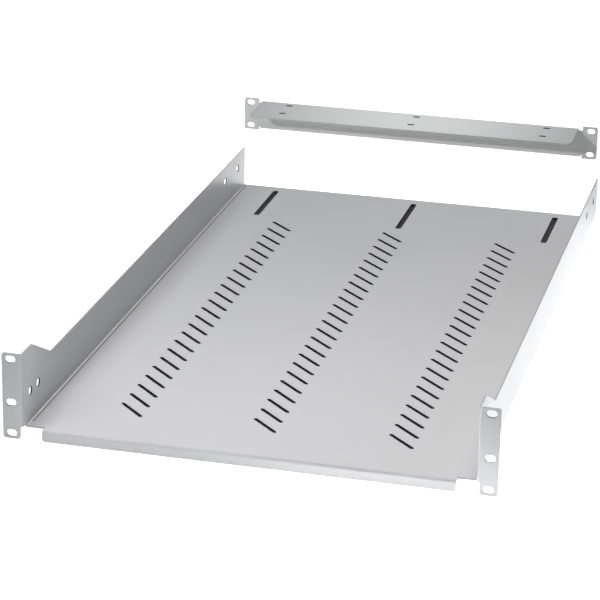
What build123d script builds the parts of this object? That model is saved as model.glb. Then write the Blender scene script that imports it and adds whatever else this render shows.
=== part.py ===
from build123d import *
import math
import os

# Four post rack shelf: a ventilated shelf pan with rack ears, and the bracket that carries
# its rear end on the rear posts. Both are folded from steel sheet.
# Millimetres. X to the right, Y to the rear, Z up. The origin is the centre of the hole
# pattern of the front ears, on the face that lies against the front posts.

# Sheet
THICKNESS = 1.5
INNER_BEND = 1.5
OUTER_BEND = INNER_BEND + THICKNESS

# Rack standard
RACK_UNIT = 44.45
PANEL_CLEARANCE = 0.8
HOLE_GAP_BETWEEN_UNITS = 12.7
SHELF_UNITS = 2
BRACKET_UNITS = 1

# Shelf pan, overall
BODY_WIDTH = 444.5
DEPTH = 805.0
FLOOR_RISE = 11.5
WALL_ABOVE_FLOOR = 49.0

# Front ears and the holes in them
EAR_REACH = 19.05
EAR_CORNER = 3.0
HOLE_INSET = 8.75
EAR_SLOT_LENGTH = 10.5
EAR_SLOT_HEIGHT = 7.2

# Tall part of each side wall beside the ear, and the relief at the front corners
SHOULDER_LENGTH = 29.0
SLOPE_LENGTH = 54.0
RELIEF_DEPTH = 8.6
LIP_INSET = 20.25
LIP_CORNER = 3.0

# Slanting ventilation slots
VENT_LENGTH = 40.0
VENT_WIDTH = 4.0
VENT_END_SIDES = 8
VENT_ANGLE = -45.0
VENT_PITCH = 25.4
VENT_FIRST_ROW = 74.0
VENT_REAR_GAP = 19.0
VENT_SIDE_MARGIN = 87.25

# Long slots for the bolts to the rear bracket
TIE_SLOT_LENGTH = 98.0
TIE_SLOT_WIDTH = 7.0
TIE_SLOT_REAR_MARGIN = 15.5
TIE_SIDE_MARGIN = 46.85

# Round holes in the side walls
WALL_HOLE_DIAMETER = 9.0
WALL_HOLE_RISE = 30.7
FRONT_PAIR_START = 22.2
FRONT_PAIR_SPACING = 22.2
REAR_PAIR_MARGIN = 34.0
REAR_PAIR_SPACING = 56.0

# Rear bracket
BRACKET_SETBACK = 275.0
BRACKET_OFFSET = -55.0
FLANGE_DEPTH = 76.0
FLANGE_DROP = 2.6
FLANGE_INSET = 6.25
FLANGE_CORNER = 8.0
FLANGE_SLOT_LENGTH = 9.5
FLANGE_SLOT_WIDTH = 5.5
FLANGE_ROWS = (13.0, 51.0)
RETURN_DEPTH = 12.0
RETURN_RISE = 1.5
RETURN_INSET = 2.75
EAR_NECK = 0.75

# Sizes that follow from the values above
PANEL_WIDTH = BODY_WIDTH + 2 * EAR_REACH
HOLE_EDGE = (HOLE_GAP_BETWEEN_UNITS - PANEL_CLEARANCE) / 2
HOLE_SPREAD = RACK_UNIT - HOLE_GAP_BETWEEN_UNITS
HOLE_X = PANEL_WIDTH / 2 - HOLE_INSET
EAR_HEIGHT = SHELF_UNITS * RACK_UNIT - PANEL_CLEARANCE
BRACKET_HEIGHT = BRACKET_UNITS * RACK_UNIT - PANEL_CLEARANCE
BOTTOM = -EAR_HEIGHT / 2
EAR_TOP = BOTTOM + EAR_HEIGHT
FRONT = -THICKNESS
FLOOR_TOP = BOTTOM + FLOOR_RISE
WALL_TOP = FLOOR_TOP + WALL_ABOVE_FLOOR
WALL_INSIDE = BODY_WIDTH / 2 - THICKNESS
WALL_LOWER_EDGE = FLOOR_TOP + INNER_BEND
FRONT_BEND_END = FRONT + OUTER_BEND
RELIEF_END = FRONT + RELIEF_DEPTH
REAR = FRONT + DEPTH
LIP_HALF_WIDTH = BODY_WIDTH / 2 - LIP_INSET
EAR_FLAT_START = BODY_WIDTH / 2 + INNER_BEND
TIE_X = BODY_WIDTH / 2 - TIE_SIDE_MARGIN
TIE_Y = REAR - TIE_SLOT_REAR_MARGIN - TIE_SLOT_LENGTH / 2
VENT_X = BODY_WIDTH / 2 - VENT_SIDE_MARGIN
BRACKET_FACE = REAR + BRACKET_SETBACK


def folded_sheet(face_line, side):
    """Section of a folded sheet: the line of one face, thickened towards one side."""
    return make_face(offset(face_line, amount=THICKNESS, side=side))


def slot_tool(length, width, height):
    """Solid that cuts a slot with round ends, long along X and cutting along Z."""
    outline = SlotOverall(length, width) if length > width else Circle(width / 2)
    return extrude(outline, amount=height, both=True)


def ear_hole_heights(units):
    """Heights of the ear holes above the lower edge of a panel of this many rack units."""
    heights = [HOLE_EDGE, HOLE_EDGE + HOLE_SPREAD]
    if units > 1:
        heights.append(units * RACK_UNIT - PANEL_CLEARANCE - HOLE_EDGE)
    return heights


def ear_slots(units, bottom, centre_x, centre_y):
    """Cutting tools for the slotted holes of both ears."""
    tool = Rot(90, 0, 0) * slot_tool(EAR_SLOT_LENGTH, EAR_SLOT_HEIGHT, 4 * THICKNESS)
    places = [
        Pos(centre_x + sign * HOLE_X, centre_y, bottom + height)
        for sign in (-1, 1)
        for height in ear_hole_heights(units)
    ]
    return [place * tool for place in places]


def ear_plate(inner_x, bottom, top):
    """Right-hand ear as a flat plate on the plane Y = 0, with rounded outer corners."""
    outer_x = PANEL_WIDTH / 2
    width = outer_x - inner_x
    outline = Pos(inner_x + width / 2, (bottom + top) / 2) * Rectangle(width, top - bottom)
    rounded = fillet(outline.vertices().sort_by(Axis.X)[-2:], EAR_CORNER)
    return extrude(Plane.XZ * rounded, amount=THICKNESS)


def channel():
    """Floor and both side walls, behind the front bends: a deep channel open at the top."""
    inner_face = FilletPolyline(
        (-WALL_INSIDE, EAR_TOP),
        (-WALL_INSIDE, FLOOR_TOP),
        (WALL_INSIDE, FLOOR_TOP),
        (WALL_INSIDE, EAR_TOP),
        radius=INNER_BEND,
    )
    section = Plane.XZ * folded_sheet(inner_face, Side.RIGHT)
    return Pos(0, FRONT_BEND_END, 0) * extrude(section, amount=-(REAR - FRONT_BEND_END))


def corner_reliefs():
    """Space of the notches that part floor and wall at the front, so that each can fold."""
    width = 2 * (BODY_WIDTH - LIP_HALF_WIDTH)
    height = WALL_LOWER_EDGE - BOTTOM
    notch = Box(width, 2 * RELIEF_DEPTH, height, align=(Align.MIN, Align.MAX, Align.MAX))
    right_notch = Pos(LIP_HALF_WIDTH, RELIEF_END, WALL_LOWER_EDGE) * notch
    return right_notch + mirror(right_notch, about=Plane.YZ)


def quarter_bend(length):
    """Sheet turning through a right angle about the Z axis, in the quarter where X, Y > 0."""
    quarter = Rectangle(OUTER_BEND, OUTER_BEND, align=Align.MIN)
    return extrude((Circle(OUTER_BEND) - Circle(INNER_BEND)) & quarter, amount=length)


def ear_fold():
    """Right-hand ear and the bend that turns it outward from the front end of the wall."""
    turned = Rot(0, 0, 180) * quarter_bend(EAR_TOP - WALL_LOWER_EDGE)
    ear = ear_plate(EAR_FLAT_START, BOTTOM, EAR_TOP)
    inner_corner = ear.edges().filter_by(Axis.Y).group_by(Axis.Z)[0].sort_by(Axis.X)[0]
    ear = fillet(inner_corner, EAR_CORNER)
    return Pos(EAR_FLAT_START, FRONT_BEND_END, WALL_LOWER_EDGE) * turned + ear


def front_lip():
    """Lip and the bend that turns it down from the front edge of the floor."""
    turned = Plane.YZ.location * Rot(0, 0, 90) * quarter_bend(2 * LIP_HALF_WIDTH)
    bend_centre = FLOOR_TOP - OUTER_BEND
    lip = Pos(0, FRONT, BOTTOM) * Box(
        2 * LIP_HALF_WIDTH,
        THICKNESS,
        bend_centre - BOTTOM,
        align=(Align.CENTER, Align.MIN, Align.MIN),
    )
    lip = fillet(lip.edges().filter_by(Axis.Y).group_by(Axis.Z)[0], LIP_CORNER)
    return Pos(-LIP_HALF_WIDTH, FRONT_BEND_END, bend_centre) * turned + lip


def wall_trim():
    """Space above the side walls: level behind, sloping up to the shoulder beside each ear."""
    shoulder = FRONT + SHOULDER_LENGTH
    foot = shoulder + SLOPE_LENGTH
    above = EAR_TOP + WALL_ABOVE_FLOOR
    outline = Polygon(
        (shoulder, EAR_TOP),
        (foot, WALL_TOP),
        (REAR + WALL_ABOVE_FLOOR, WALL_TOP),
        (REAR + WALL_ABOVE_FLOOR, above),
        (shoulder, above),
        align=None,
    )
    return extrude(Plane.YZ * outline, amount=PANEL_WIDTH, both=True)


def vent_outline():
    """Outline of one vent. Flat sides stand in for its round ends, as there are many vents."""
    radius = VENT_WIDTH / 2
    end_centre = VENT_LENGTH / 2 - radius
    right_end = [
        (end_centre + radius * math.sin(turn), -radius * math.cos(turn))
        for turn in (math.pi * side / VENT_END_SIDES for side in range(VENT_END_SIDES + 1))
    ]
    left_end = [(-x, -y) for x, y in right_end]
    return Polygon(*right_end, *left_end, align=None)


def vent_slots():
    """Three columns of slanting slots, all leaning the same way."""
    half_reach = VENT_LENGTH / 2 * abs(math.sin(math.radians(VENT_ANGLE)))
    last_row = TIE_Y - TIE_SLOT_LENGTH / 2 - VENT_REAR_GAP - half_reach
    rows = int((last_row - VENT_FIRST_ROW - FRONT) / VENT_PITCH) + 1
    tool = Rot(0, 0, VENT_ANGLE) * extrude(vent_outline(), amount=2 * THICKNESS, both=True)
    return [
        Pos(column, FRONT + VENT_FIRST_ROW + row * VENT_PITCH, FLOOR_TOP) * tool
        for column in (-VENT_X, 0, VENT_X)
        for row in range(rows)
    ]


def tie_slots():
    """Long slots at the rear, which let the bracket slide to suit the depth of the rack."""
    tool = Rot(0, 0, 90) * slot_tool(TIE_SLOT_LENGTH, TIE_SLOT_WIDTH, 2 * THICKNESS)
    return [Pos(column, TIE_Y, FLOOR_TOP) * tool for column in (-TIE_X, 0, TIE_X)]


def wall_holes():
    """Two pairs of round holes in each side wall, one near each end."""
    radius = WALL_HOLE_DIAMETER / 2
    tool = Rot(0, 90, 0) * Cylinder(radius, BODY_WIDTH + 4 * THICKNESS)
    front = FRONT + FRONT_PAIR_START
    rear = REAR - REAR_PAIR_MARGIN
    centres = (front, front + FRONT_PAIR_SPACING, rear - REAR_PAIR_SPACING, rear)
    return [Pos(0, y, FLOOR_TOP + WALL_HOLE_RISE) * tool for y in centres]


def shelf_pan():
    """The whole shelf pan as one folded sheet."""
    right_ear = ear_fold()
    left_ear = mirror(right_ear, about=Plane.YZ)
    sheet = channel() - wall_trim() - corner_reliefs()
    sheet = sheet + right_ear + left_ear + front_lip()
    cuts = vent_slots() + tie_slots() + wall_holes()
    cuts += ear_slots(SHELF_UNITS, BOTTOM, 0, FRONT)
    return sheet - cuts


def bracket_sheet():
    """Rear bracket in place of its cuts: panel, top flange to the front, return to the rear."""
    rear_face = BRACKET_FACE + THICKNESS
    flange_top = BOTTOM + BRACKET_HEIGHT - FLANGE_DROP
    return_top = BOTTOM + RETURN_RISE + THICKNESS
    upper_bend_end = flange_top - OUTER_BEND
    lower_bend_end = return_top + INNER_BEND

    flange_line = FilletPolyline(
        (BRACKET_FACE - FLANGE_DEPTH, flange_top),
        (rear_face, flange_top),
        (rear_face, lower_bend_end),
        radius=OUTER_BEND,
    )
    flange_half = BODY_WIDTH / 2 - FLANGE_INSET
    flange = extrude(Plane.YZ * folded_sheet(flange_line, Side.RIGHT), amount=flange_half, both=True)
    front_corners = flange.edges().filter_by(Axis.Z).group_by(Axis.Y)[0]
    flange = fillet(front_corners, FLANGE_CORNER)

    return_line = FilletPolyline(
        (rear_face, upper_bend_end),
        (rear_face, return_top),
        (rear_face + RETURN_DEPTH, return_top),
        radius=INNER_BEND,
    )
    return_half = BODY_WIDTH / 2 - RETURN_INSET
    bent_return = extrude(Plane.YZ * folded_sheet(return_line, Side.RIGHT), amount=return_half, both=True)

    panel = Pos(0, rear_face, (upper_bend_end + lower_bend_end) / 2) * Box(
        PANEL_WIDTH - 2 * EAR_CORNER,
        THICKNESS,
        upper_bend_end - lower_bend_end,
        align=(Align.CENTER, Align.MAX, Align.CENTER),
    )
    ear = ear_plate(BODY_WIDTH / 2 - EAR_NECK, BOTTOM, BOTTOM + BRACKET_HEIGHT)
    right_ear = Pos(0, rear_face, 0) * ear
    return flange + bent_return + panel + right_ear + mirror(right_ear, about=Plane.YZ)


def flange_slots():
    """Short slots in the flange, in line with the long slots of the pan."""
    level = BOTTOM + BRACKET_HEIGHT - FLANGE_DROP
    tool = slot_tool(FLANGE_SLOT_LENGTH, FLANGE_SLOT_WIDTH, 2 * THICKNESS)
    return [
        Pos(column, BRACKET_FACE - row, level) * tool
        for column in (-TIE_X, 0, TIE_X)
        for row in FLANGE_ROWS
    ]


def rear_support_bracket():
    """The rear bracket as one folded sheet, standing apart behind the pan."""
    cuts = flange_slots() + ear_slots(BRACKET_UNITS, BOTTOM, 0, BRACKET_FACE)
    return Pos(BRACKET_OFFSET, 0, 0) * (bracket_sheet() - cuts)


def main():
    os.makedirs("parts", exist_ok=True)
    export_step(shelf_pan(), "parts/shelf_pan.step")
    export_step(rear_support_bracket(), "parts/rear_support_bracket.step")


main()
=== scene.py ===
# %% [markdown]
# # A four post rack shelf in powder-coated sheet steel
#
# The object is two sheets of steel, cut flat and then folded: a deep shelf pan with ears for the
# front posts, and a narrow bracket for the rear posts. The construction model already has every
# fold, slot and hole at its true place, so this lesson is about what paint and light do to thin
# sheet: softened edges, a fine skin on the coat, and the way a wall beside a floor picks up shade.

# %% Load the frame
import math

import bmesh
import bpy
import numpy as np
from mathutils import Matrix, Vector


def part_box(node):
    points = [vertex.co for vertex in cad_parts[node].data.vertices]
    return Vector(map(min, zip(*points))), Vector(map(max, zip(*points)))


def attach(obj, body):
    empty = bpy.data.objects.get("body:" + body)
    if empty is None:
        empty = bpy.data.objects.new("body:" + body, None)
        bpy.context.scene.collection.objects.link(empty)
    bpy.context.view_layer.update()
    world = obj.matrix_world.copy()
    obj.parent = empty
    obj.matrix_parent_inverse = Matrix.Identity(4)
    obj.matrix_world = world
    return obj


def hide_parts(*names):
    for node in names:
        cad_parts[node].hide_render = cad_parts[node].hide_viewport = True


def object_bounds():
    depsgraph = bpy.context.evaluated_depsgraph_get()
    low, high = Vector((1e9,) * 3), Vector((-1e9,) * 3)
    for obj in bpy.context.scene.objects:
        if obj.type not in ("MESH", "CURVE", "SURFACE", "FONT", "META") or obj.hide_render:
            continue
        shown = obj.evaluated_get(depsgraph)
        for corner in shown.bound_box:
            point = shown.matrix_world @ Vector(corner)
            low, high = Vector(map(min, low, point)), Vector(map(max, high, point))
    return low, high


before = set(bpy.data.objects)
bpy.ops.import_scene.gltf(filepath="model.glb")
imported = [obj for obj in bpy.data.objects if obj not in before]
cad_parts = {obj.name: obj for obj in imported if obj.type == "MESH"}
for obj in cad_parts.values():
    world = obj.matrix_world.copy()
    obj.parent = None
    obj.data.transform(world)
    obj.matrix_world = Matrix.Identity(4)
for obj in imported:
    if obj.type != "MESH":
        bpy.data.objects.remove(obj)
cad_low, cad_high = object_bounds()
MM = 0.001
GROUND = cad_low.z
print("CAD box in metres:", [round(x, 4) for x in (*cad_low, *cad_high)])

# %% [markdown]
# ## The camera
#
# A product picture of a long shelf is taken from well back with a long lens, so that the far end
# does not shrink too much. The camera stands to the right of the shelf and looks down on it, which
# shows the floor, the inner side of the left wall and the outer side of the right one. Three turns
# place it: around the vertical, down towards the floor, and a small tilt of the picture itself.

# %% Place the camera
CAMERA_PLACE = Vector((551.75, -2051.5, 916.9)) * MM
CAMERA_YAW = math.radians(13.74)
CAMERA_PITCH = math.radians(20.47)
CAMERA_ROLL = math.radians(1.12)
LENS_MM = 147.94
SENSOR_MM = 36.0


def turned(angle, axis):
    """Rotation by an angle about one of the main axes."""
    return Matrix.Rotation(angle, 4, axis)


def add_camera():
    """A camera looks along its own -Z, so a quarter turn about X first aims it level along +Y."""
    data = bpy.data.cameras.new("photo_camera")
    data.lens, data.sensor_width = LENS_MM, SENSOR_MM
    made = bpy.data.objects.new("photo_camera", data)
    level = turned(math.pi / 2 - CAMERA_PITCH, "X")
    aim = turned(CAMERA_YAW, "Z") @ level @ turned(CAMERA_ROLL, "Z")
    made.matrix_world = Matrix.Translation(CAMERA_PLACE) @ aim
    bpy.context.scene.collection.objects.link(made)
    bpy.context.scene.camera = made
    return made


camera = add_camera()
print("camera looks along", [round(x, 3) for x in camera.matrix_world.to_3x3() @ Vector((0, 0, -1))])

# %% [markdown]
# ## The stage
#
# White card lies under the object. It is a disc, so it has no corner that could show in another
# view, and its points are a formula of two parameters: distance from the middle and angle. Rings
# get wider outwards, because only the middle is ever looked at closely, and a fan of triangles
# closes the hole that rings leave at the centre.

# %% Floor disc
FLOOR_RADIUS = 60.0
FLOOR_RINGS = 24
FLOOR_SPOKES = 96
CARD_ALBEDO = 0.9
CARD_ROUGHNESS = 0.9


def mesh_object(name, points, faces):
    """Object at the origin whose mesh has these points, in metres, and faces."""
    mesh = bpy.data.meshes.new(name)
    mesh.from_pydata(np.asarray(points).tolist(), [], faces)
    mesh.update()
    made = bpy.data.objects.new(name, mesh)
    bpy.context.scene.collection.objects.link(made)
    return made


def disc_points():
    """Centre first, then rings: radius is the square of the ring's share of all rings."""
    share = np.linspace(0.0, 1.0, FLOOR_RINGS + 1)[1:, None]
    angle = np.linspace(0.0, 2 * np.pi, FLOOR_SPOKES, endpoint=False)[None, :]
    radius = FLOOR_RADIUS * share**2
    x, y = radius * np.cos(angle), radius * np.sin(angle)
    rings = np.stack([x, y, np.full_like(x, GROUND)], axis=-1).reshape(-1, 3)
    return np.vstack([[0.0, 0.0, GROUND], rings])


def disc_faces():
    """A fan from the centre to the first ring, then quads from each ring to the next."""
    spoke = np.arange(FLOOR_SPOKES)
    following = (spoke + 1) % FLOOR_SPOKES
    fan = np.stack([np.zeros_like(spoke), spoke + 1, following + 1], axis=1)
    start = 1 + FLOOR_SPOKES * np.arange(FLOOR_RINGS - 1)[:, None]
    outer = start + FLOOR_SPOKES
    corners = (start + spoke, outer + spoke, outer + following, start + following)
    quads = np.stack([x.ravel() for x in corners], axis=1)
    return fan.tolist() + quads.tolist()


def plain_material(name, colour, roughness):
    """A material of one colour, for what isn't part of the object."""
    material = bpy.data.materials.new(name)
    material.use_nodes = True
    shader = material.node_tree.nodes["Principled BSDF"]
    shader.inputs["Base Color"].default_value = (*colour, 1.0)
    shader.inputs["Roughness"].default_value = roughness
    return material


card = plain_material("white_card", (CARD_ALBEDO,) * 3, CARD_ROUGHNESS)
floor = mesh_object("floor_disc", disc_points(), disc_faces())
floor.data.materials.append(card)
print("floor at z", round(GROUND, 5), "with", len(floor.data.polygons), "faces")

# %% [markdown]
# ## The card in the shelf's shade
#
# The ground of a product picture is lit until it is pure white, but the strip under a low shelf
# stays dark, and that is why its slots look black. One light can't do both, so a second card, a
# greyer one, is held close under the pan's floor, and the light for the ground leaves it out. It ends
# inside the pan's outline, so that it shows through the slots and nowhere else.

# %% Shaded card
PAN_LOW, PAN_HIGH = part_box("shelf_pan")
CARD_RISE = 8 * MM
SHADED_ALBEDO = 0.8
CARD_INSET_SIDE = 48 * MM
CARD_INSET_FRONT = 40 * MM
CARD_INSET_REAR = 3 * MM


def shade_points():
    """Corners of a rectangle inside the pan's outline, a little lower than the pan's floor."""
    x = np.array([PAN_LOW[0] + CARD_INSET_SIDE, PAN_HIGH[0] - CARD_INSET_SIDE])
    y = np.array([PAN_LOW[1] + CARD_INSET_FRONT, PAN_HIGH[1] - CARD_INSET_REAR])
    grid = np.meshgrid(x, y)
    height = np.full(grid[0].size, GROUND + CARD_RISE)
    return np.stack([grid[0].ravel(), grid[1].ravel(), height], axis=1)


shade = mesh_object("shaded_card", shade_points(), [[0, 1, 3, 2]])
grey_card = plain_material("grey_card", (SHADED_ALBEDO,) * 3, CARD_ROUGHNESS)
shade.data.materials.append(grey_card)
print("shaded card", [round(x, 3) for x in shade.dimensions[:2]], "m")

# %% [markdown]
# ## The sheets
#
# A laser or a punch leaves a sharp rim on sheet steel. It is deburred, and then the coat rounds it
# a little more. A construction mesh is a loose heap of triangles that share no points, so a copy is
# welded first, and the small triangles of each flat are melted into one face. Then a narrow bevel
# runs along every rim. The folds are already round and turn by less than the angle limit, so the
# bevel leaves them as they are.
#
# The sheet also carries two marks for the paint. The rim mark is 1 on the cut outline, where the
# melted film draws back from the corner. The hollow mark is 1 on the walls of the slots and holes,
# which the paint makes much darker, as painted shade, and rougher, so that they show no sheen.
# What tells a hole from the outline is its size: rim edges that hang together in a small loop
# belong to a hole.

# %% Weld, melt and round
WELD = 0.002 * MM
FLAT_ANGLE = math.radians(0.2)
RIM_ANGLE = math.radians(40.0)
RIM_ROUND = 0.25 * MM
RIM_SEGMENTS = 2
RIM_MARK = "rim_mark"
HOLLOW_MARK = "hollow_mark"
CUT_WIDTH = 1.7 * MM
HOLE_REACH = 110 * MM


def is_rim(edge):
    """True where two faces meet at more than the rim angle."""
    return len(edge.link_faces) == 2 and edge.calc_face_angle() > RIM_ANGLE


def is_cut(face):
    """True for a strip between two rims that lie about a sheet's thickness apart."""
    rim_length = sum(edge.calc_length() for edge in face.edges if is_rim(edge))
    return face.calc_area() < CUT_WIDTH * rim_length / 2


def rim_loops(rims):
    """Rim edges in groups that hang together."""
    left = set(rims)
    loops = []
    while left:
        loop, reached = [], [left.pop()]
        while reached:
            edge = reached.pop()
            loop.append(edge)
            nearby = {near for corner in edge.verts for near in corner.link_edges} & left
            left -= nearby
            reached.extend(nearby)
        loops.append(loop)
    return loops


def is_hole(loop):
    """True for a loop small enough to go round a slot or a hole."""
    points = np.array([corner.co for edge in loop for corner in edge.verts])
    return np.ptp(points, axis=0).max() < HOLE_REACH


def mark_cuts(bm, rims):
    """Put 1 in the hollow mark on cut faces beside a hole's loop, and in the rim mark on others."""
    rim_mark = bm.faces.layers.float.new(RIM_MARK)
    hollow_mark = bm.faces.layers.float.new(HOLLOW_MARK)
    holes = [loop for loop in rim_loops(rims) if is_hole(loop)]
    beside_hole = {face for loop in holes for edge in loop for face in edge.link_faces}
    for face in bm.faces:
        if is_cut(face):
            face[hollow_mark if face in beside_hole else rim_mark] = 1.0
    return len(holes)


def spread_marks(bm, round_faces):
    """Give each rounded face the marks of the cut face that it leads to, one segment at a time."""
    layers = [bm.faces.layers.float[RIM_MARK], bm.faces.layers.float[HOLLOW_MARK]]
    for face in round_faces:
        for layer in layers:
            face[layer] = 0.0
    for _ in range(RIM_SEGMENTS):
        found = []
        for face in round_faces:
            near = {other for edge in face.edges for other in edge.link_faces}
            found.append([max(other[layer] for other in near) for layer in layers])
        for face, marks in zip(round_faces, found):
            for layer, mark in zip(layers, marks):
                face[layer] = mark


def coated_sheet(node, name):
    """A welded copy of a node's mesh with rounded rims and the two marks for the paint."""
    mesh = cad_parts[node].data.copy()
    mesh.name = name
    bm = bmesh.new()
    bm.from_mesh(mesh)
    bmesh.ops.remove_doubles(bm, verts=bm.verts, dist=WELD)
    bmesh.ops.dissolve_limit(bm, angle_limit=FLAT_ANGLE, verts=bm.verts, edges=bm.edges)
    rims = [edge for edge in bm.edges if is_rim(edge)]
    print(name, "has", len(rims), "rim edges and", mark_cuts(bm, rims), "loops round holes")
    rounded = bmesh.ops.bevel(
        bm, geom=rims, offset=RIM_ROUND, offset_type="OFFSET", segments=RIM_SEGMENTS,
        profile=0.5, affect="EDGES", clamp_overlap=True, loop_slide=True,
    )
    spread_marks(bm, rounded["faces"])
    bm.to_mesh(mesh)
    bm.free()
    made = bpy.data.objects.new(name, mesh)
    bpy.context.scene.collection.objects.link(made)
    return made


def keep_flats_flat(piece):
    """Smooth shading whose normals follow the largest face, so that only rims and folds turn."""
    normals = piece.modifiers.new("flat_normals", "WEIGHTED_NORMAL")
    normals.mode = "FACE_AREA"
    piece.data.shade_smooth()


pan = coated_sheet("shelf_pan", "shelf_pan_coated")
bracket = coated_sheet("rear_support_bracket", "rear_support_bracket_coated")
for piece in (pan, bracket):
    keep_flats_flat(piece)
    print(piece.name, len(piece.data.vertices), "points", len(piece.data.polygons), "faces")

# %% [markdown]
# ## The skin of a powder coat
#
# Powder is sprayed on dry and melted in an oven. It flows, but not quite flat: grains that melted
# side by side leave a fine dimpled skin, and the film is a little thicker here than there, which
# shows as a slow drift of tone and gloss. On a rim the film draws back, and the steel darkens it.
# A shader node group holds these effects once, and each material places it with its own values.
# All patterns are worked out from Object coordinates, so they sit still on the sheet from any side.

# %% Coat skin group
PEEL_SIZE = 2.2 * MM
GRAIN_SIZE = 0.5 * MM
DRIFT_SIZE = 110 * MM
GRAIN_HEIGHT_SHARE = 0.15
SKIN_INPUTS = ("Tone Drift", "Grain", "Thin Edge", "Hollow Shade", "Roughness", "Gloss Drift",
               "Dry Hollow", "Rim", "Hollow")


def new_socket(group, name, kind, direction):
    """One input or output of a node group."""
    group.interface.new_socket(name=name, in_out=direction, socket_type=kind)


def noise(nodes, links, place, size, detail):
    """Noise whose lumps are about size metres across."""
    node = nodes.new("ShaderNodeTexNoise")
    node.inputs["Scale"].default_value = 1.0 / size
    node.inputs["Detail"].default_value = detail
    links.new(place, node.inputs["Vector"])
    return node.outputs["Fac"]


def math_node(nodes, links, operation, first, second, third=None):
    """One step of arithmetic on numbers or sockets."""
    node = nodes.new("ShaderNodeMath")
    node.operation = operation
    for slot, value in zip(node.inputs, (first, second, third)):
        if isinstance(value, bpy.types.NodeSocket):
            links.new(value, slot)
        elif value is not None:
            slot.default_value = value
    return node.outputs[0]


def coat_skin_group():
    """Colour is the base times one plus the drift, grain, rim and hollow terms. Roughness is the
    base plus drift, and rougher in a hollow. Height is dimples plus a share of grain."""
    group = bpy.data.node_groups.new("coat_skin", "ShaderNodeTree")
    new_socket(group, "Colour", "NodeSocketColor", "INPUT")
    for name in SKIN_INPUTS:
        new_socket(group, name, "NodeSocketFloat", "INPUT")
    new_socket(group, "Colour", "NodeSocketColor", "OUTPUT")
    new_socket(group, "Roughness", "NodeSocketFloat", "OUTPUT")
    new_socket(group, "Height", "NodeSocketFloat", "OUTPUT")
    nodes, links = group.nodes, group.links
    given = nodes.new("NodeGroupInput").outputs
    result = nodes.new("NodeGroupOutput").inputs
    place = nodes.new("ShaderNodeTexCoord").outputs["Object"]

    def step(operation, first, second, third=None):
        return math_node(nodes, links, operation, first, second, third)

    drift = step("SUBTRACT", noise(nodes, links, place, DRIFT_SIZE, 2.0), 0.5)
    grain = step("SUBTRACT", noise(nodes, links, place, GRAIN_SIZE, 1.0), 0.5)
    peel = noise(nodes, links, place, PEEL_SIZE, 0.0)

    tone = step("MULTIPLY_ADD", drift, given["Tone Drift"], 1.0)
    tone = step("MULTIPLY_ADD", grain, given["Grain"], tone)
    tone = step("MULTIPLY_ADD", given["Rim"], given["Thin Edge"], tone)
    # The hollow term is painted shade: it darkens the walls of slots and holes, and the fold line.
    tone = step("MULTIPLY_ADD", given["Hollow"], given["Hollow Shade"], tone)
    shaded = nodes.new("ShaderNodeVectorMath")
    shaded.operation = "SCALE"
    links.new(given["Colour"], shaded.inputs[0])
    links.new(tone, shaded.inputs["Scale"])
    links.new(shaded.outputs[0], result["Colour"])
    rough = step("MULTIPLY_ADD", drift, given["Gloss Drift"], given["Roughness"])
    links.new(step("MULTIPLY_ADD", given["Hollow"], given["Dry Hollow"], rough), result["Roughness"])
    links.new(step("MULTIPLY_ADD", grain, GRAIN_HEIGHT_SHARE, peel), result["Height"])
    return group


coat_skin = coat_skin_group()
print("coat skin puts out", [s.name for s in coat_skin.interface.items_tree if s.in_out == "OUTPUT"])

# %% [markdown]
# ## Painted shade at the foot of a wall
#
# A thin dark line is painted along the inside of the fold at the foot of each side wall, where the
# fold ends and the flat begins: painted shade in the crease. It runs along both side walls and
# stops short of the front. A second small group finds it: a point is on the line when its distance
# from the middle of the pan and its height both match, each within a tolerance, and it lies behind
# the line's front end.

# %% Fold line group
def fold_shade_line_group():
    """1 behind the front end, where distance from the middle and height are within tolerance."""
    group = bpy.data.node_groups.new("fold_shade_line", "ShaderNodeTree")
    for name in ("From Middle", "Half Width", "Height", "Height Band", "Front End"):
        new_socket(group, name, "NodeSocketFloat", "INPUT")
    new_socket(group, "Mask", "NodeSocketFloat", "OUTPUT")
    nodes, links = group.nodes, group.links
    given = nodes.new("NodeGroupInput").outputs
    place = nodes.new("ShaderNodeSeparateXYZ")
    links.new(nodes.new("ShaderNodeTexCoord").outputs["Object"], place.inputs[0])
    away = math_node(nodes, links, "ABSOLUTE", place.outputs["X"], None)
    beside = math_node(nodes, links, "COMPARE", away, given["From Middle"], given["Half Width"])
    level = math_node(nodes, links, "COMPARE", place.outputs["Z"], given["Height"], given["Height Band"])
    behind = math_node(nodes, links, "GREATER_THAN", place.outputs["Y"], given["Front End"])
    mask = math_node(nodes, links, "MULTIPLY", beside, level)
    mask = math_node(nodes, links, "MULTIPLY", mask, behind)
    links.new(mask, nodes.new("NodeGroupOutput").inputs["Mask"])
    return group


fold_shade_line = fold_shade_line_group()
print("fold line takes", [s.name for s in fold_shade_line.interface.items_tree if s.in_out == "INPUT"])
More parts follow.
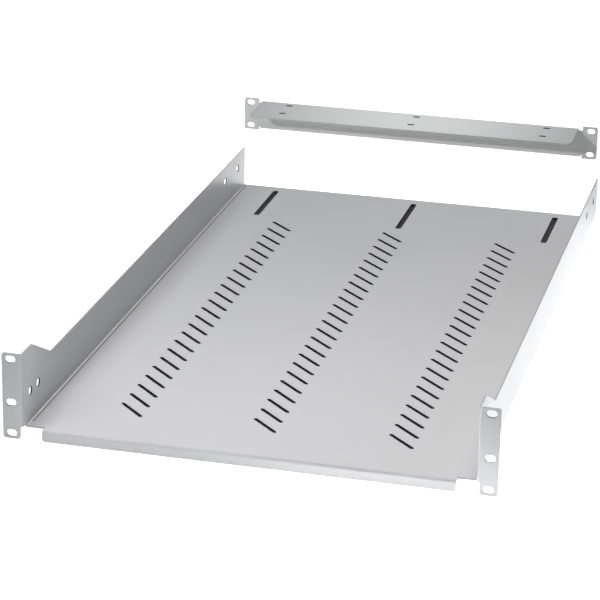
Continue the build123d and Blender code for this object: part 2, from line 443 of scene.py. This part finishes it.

# %% [markdown]
# ## Two coats
#
# The pan and the bracket are sprayed in the same light grey, but their two materials differ as
# painted light: the pan's colour is a little darker and bluer, a painted cool cast of the light in
# its shade, and the bracket's is neutral and a touch less glossy. Each material passes the sheet's
# two marks to the group, and lets the group's height lift the surface by a hundredth of a millimetre.

# %% Coat materials
# The pan's blue tint is a painted cool cast of the light in its shade.
PAN_SKIN = {
    "Colour": (0.290, 0.305, 0.317, 1.0), "Tone Drift": 0.04, "Grain": 0.03, "Thin Edge": -0.3,
    "Hollow Shade": -0.9, "Dry Hollow": 0.5, "Roughness": 0.34, "Gloss Drift": 0.06,
}
BRACKET_SKIN = {
    "Colour": (0.320, 0.320, 0.320, 1.0), "Tone Drift": 0.03, "Grain": 0.04, "Thin Edge": -0.3,
    "Hollow Shade": -0.9, "Dry Hollow": 0.5, "Roughness": 0.38, "Gloss Drift": 0.06,
}
SKIN_HEIGHT = 0.012 * MM
COAT_SPECULAR = 0.25
FOLD_LINE_INSET = 4.1 * MM
FOLD_LINE_WIDTH = 1.6 * MM
FOLD_LINE_BAND = 0.4 * MM
FOLD_LINE_START = 20 * MM
FOLD_SHADE_STRENGTH = 0.7
FLOOR_RISE = 11.5 * MM
EAR_REACH = 19.05 * MM
BODY_HALF = (PAN_HIGH[0] - PAN_LOW[0]) / 2 - EAR_REACH


def coat_material(name, skin_values):
    """A powder coat: the skin group feeds colour, roughness and, through a bump, the normal."""
    material = bpy.data.materials.new(name)
    material.use_nodes = True
    nodes, links = material.node_tree.nodes, material.node_tree.links
    shader = nodes["Principled BSDF"]
    skin = nodes.new("ShaderNodeGroup")
    skin.node_tree = coat_skin
    for socket, value in skin_values.items():
        skin.inputs[socket].default_value = value
    for socket, mark_name in (("Rim", RIM_MARK), ("Hollow", HOLLOW_MARK)):
        mark = nodes.new("ShaderNodeAttribute")
        mark.attribute_name = mark_name
        links.new(mark.outputs["Fac"], skin.inputs[socket])
    shader.inputs["Specular IOR Level"].default_value = COAT_SPECULAR
    bump = nodes.new("ShaderNodeBump")
    bump.inputs["Distance"].default_value = SKIN_HEIGHT
    links.new(skin.outputs["Colour"], shader.inputs["Base Color"])
    links.new(skin.outputs["Roughness"], shader.inputs["Roughness"])
    links.new(skin.outputs["Height"], bump.inputs["Height"])
    links.new(bump.outputs["Normal"], shader.inputs["Normal"])
    return material


def add_fold_shade_line(material):
    """Join the fold line to the material's hollow mark: the larger of the two counts."""
    nodes, links = material.node_tree.nodes, material.node_tree.links
    line = nodes.new("ShaderNodeGroup")
    line.node_tree = fold_shade_line
    values = (("From Middle", BODY_HALF - FOLD_LINE_INSET), ("Half Width", FOLD_LINE_WIDTH / 2),
              ("Height", PAN_LOW[2] + FLOOR_RISE), ("Height Band", FOLD_LINE_BAND),
              ("Front End", PAN_LOW[1] + FOLD_LINE_START))
    for socket, value in values:
        line.inputs[socket].default_value = value
    skin = next(node for node in nodes if node.type == "GROUP" and node.node_tree == coat_skin)
    mark = skin.inputs["Hollow"].links[0].from_socket
    # The line is painted shade, at 0.7 of a slot wall's strength.
    faint = math_node(nodes, links, "MULTIPLY", line.outputs["Mask"], FOLD_SHADE_STRENGTH)
    both = math_node(nodes, links, "MAXIMUM", mark, faint)
    links.new(both, skin.inputs["Hollow"])


COATS = {
    pan: coat_material("pan_coat", PAN_SKIN),
    bracket: coat_material("bracket_coat", BRACKET_SKIN),
}
add_fold_shade_line(COATS[pan])
NODES = {pan: "shelf_pan", bracket: "rear_support_bracket"}
for piece, coat in COATS.items():
    piece.data.materials.clear()
    piece.data.materials.append(coat)
    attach(piece, "root")
    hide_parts(NODES[piece])
    print(piece.name, "wears", coat.name)

# %% [markdown]
# ## The light
#
# Three things are lit, each in its own way, as in a picture put together from two shots. The ground
# is lit until it is pure white, by a broad even light that falls on it alone, and a few narrow panels
# brighten it where it throws light back up at the lip, the right ear and the right wall. The pan has
# large soft panels, and small ones over its front. The bracket has a small panel from the front left
# that draws the flange's shadow on the upright face below it. Each row is one panel: its name, what it
# lights, where its middle is, what it points at, its size, its power and its colour.

# %% Lights
WORLD_STRENGTH = 0.08
GROUND_STRENGTH = 4.0
GROUND_SPREAD = math.radians(60.0)
NEUTRAL = (1.0, 1.0, 1.0)
WARM = (1.0, 0.93, 0.905)
COOL = (0.74, 0.89, 1.0)

PANELS = [
    ("rear_high", pan, (0.45, 2.52, 2.12), (0.0, 0.4, 0.0), (1.2, 1.2), 90.0, WARM),
    ("left_front_high", pan, (-1.5, -1.1, 2.12), (0.0, 0.4, 0.0), (1.2, 1.2), 28.0, NEUTRAL),
    ("right_low", pan, (2.0, 0.4, 0.12), (0.0, 0.4, 0.0), (0.3, 0.3), 2.5, COOL),
    ("right_rear_low", pan, (1.25, 3.1, 0.45), (0.0, 0.4, 0.0), (0.8, 0.5), 10.0, COOL),
    ("right_rear_near", pan, (0.7, 1.5, 0.35), (0.0, 0.7, 0.0), (0.3, 0.3), 0.8, COOL),
    ("backdrop", pan, (-0.95, 3.73, 2.12), (0.0, 0.4, 0.0), (1.0, 1.0), 10.0, NEUTRAL),
    ("over_front_left", pan, (-0.33, 0.0, 0.6), (-0.1, 0.0, 0.0), (0.2, 0.2), 3.0, WARM),
    ("over_front_right", pan, (0.15, 0.1, 0.8), (0.15, 0.1, 0.0), (0.3, 0.3), 3.5, WARM),
    ("near_front_left", pan, (-0.23, -0.25, 0.42), (-0.1, 0.0, -0.03), (0.2, 0.2), 0.8, WARM),
    ("bracket_key", bracket, (-0.57, -0.60, 0.68), (-0.055, 1.08, -0.02), (0.03, 0.03), 18.0, NEUTRAL),
    ("bracket_near", bracket, (-0.055, 1.05, 0.38), (-0.055, 1.04, 0.0), (0.15, 0.15), 3.0, NEUTRAL),
    ("ground_lip_left", floor, (-0.12, -0.06, 0.02), (-0.12, -0.06, -0.05), (0.24, 0.06), 0.3, WARM),
    ("ground_lip_right", floor, (0.12, -0.06, 0.02), (0.12, -0.06, -0.05), (0.24, 0.06), 0.6, WARM),
    ("ground_ear", floor, (0.21, -0.05, 0.02), (0.21, -0.05, -0.05), (0.12, 0.05), 0.2, WARM),
    ("ground_right", floor, (0.26, 0.4, 0.02), (0.26, 0.4, -0.05), (0.06, 0.9), 0.7, NEUTRAL),
    ("ground_behind", floor, (-0.20, 0.87, 0.20), (-0.20, 0.87, -0.05), (0.15, 0.15), 1.2, NEUTRAL),
]


def light_only(lamp, thing):
    """Let a lamp fall on one object and leave out all others."""
    chosen = bpy.data.collections.new(lamp.name + "_lights")
    chosen.objects.link(thing)
    lamp.light_linking.receiver_collection = chosen


def add_lamp(data, thing, place, target):
    """A lamp at place that faces target, lights one thing and isn't seen itself."""
    lamp = bpy.data.objects.new(data.name, data)
    aim = (Vector(target) - Vector(place)).to_track_quat("-Z", "Y")
    lamp.matrix_world = Matrix.Translation(Vector(place)) @ aim.to_matrix().to_4x4()
    lamp.visible_camera = False
    bpy.context.scene.collection.objects.link(lamp)
    light_only(lamp, thing)
    return lamp


def add_panel(name, thing, place, target, size, power, colour):
    """A panel of light with its width and height."""
    data = bpy.data.lights.new(name, "AREA")
    data.shape = "RECTANGLE"
    data.size, data.size_y = size
    data.energy, data.color = power, colour
    return add_lamp(data, thing, place, target)


def add_ground_light():
    """A light that is equally strong everywhere, and comes from a broad part of the sky."""
    data = bpy.data.lights.new("ground_light", "SUN")
    data.energy, data.angle = GROUND_STRENGTH, GROUND_SPREAD
    lamp = add_lamp(data, floor, (0.0, 0.0, 1.0), (0.0, 0.0, 0.0))
    lamp.light_linking.blocker_collection = lamp.light_linking.receiver_collection
    return lamp


def set_world(strength, colour):
    """Even light from all round."""
    world = bpy.data.worlds.new("studio_world")
    world.use_nodes = True
    background = world.node_tree.nodes["Background"]
    background.inputs["Color"].default_value = (*colour, 1.0)
    background.inputs["Strength"].default_value = strength
    bpy.context.scene.world = world


set_world(WORLD_STRENGTH, COOL)
add_ground_light()
for row in PANELS:
    add_panel(*row)
bpy.context.scene.view_settings.view_transform = "Standard"
print("panels of light:", [row[0] for row in PANELS])
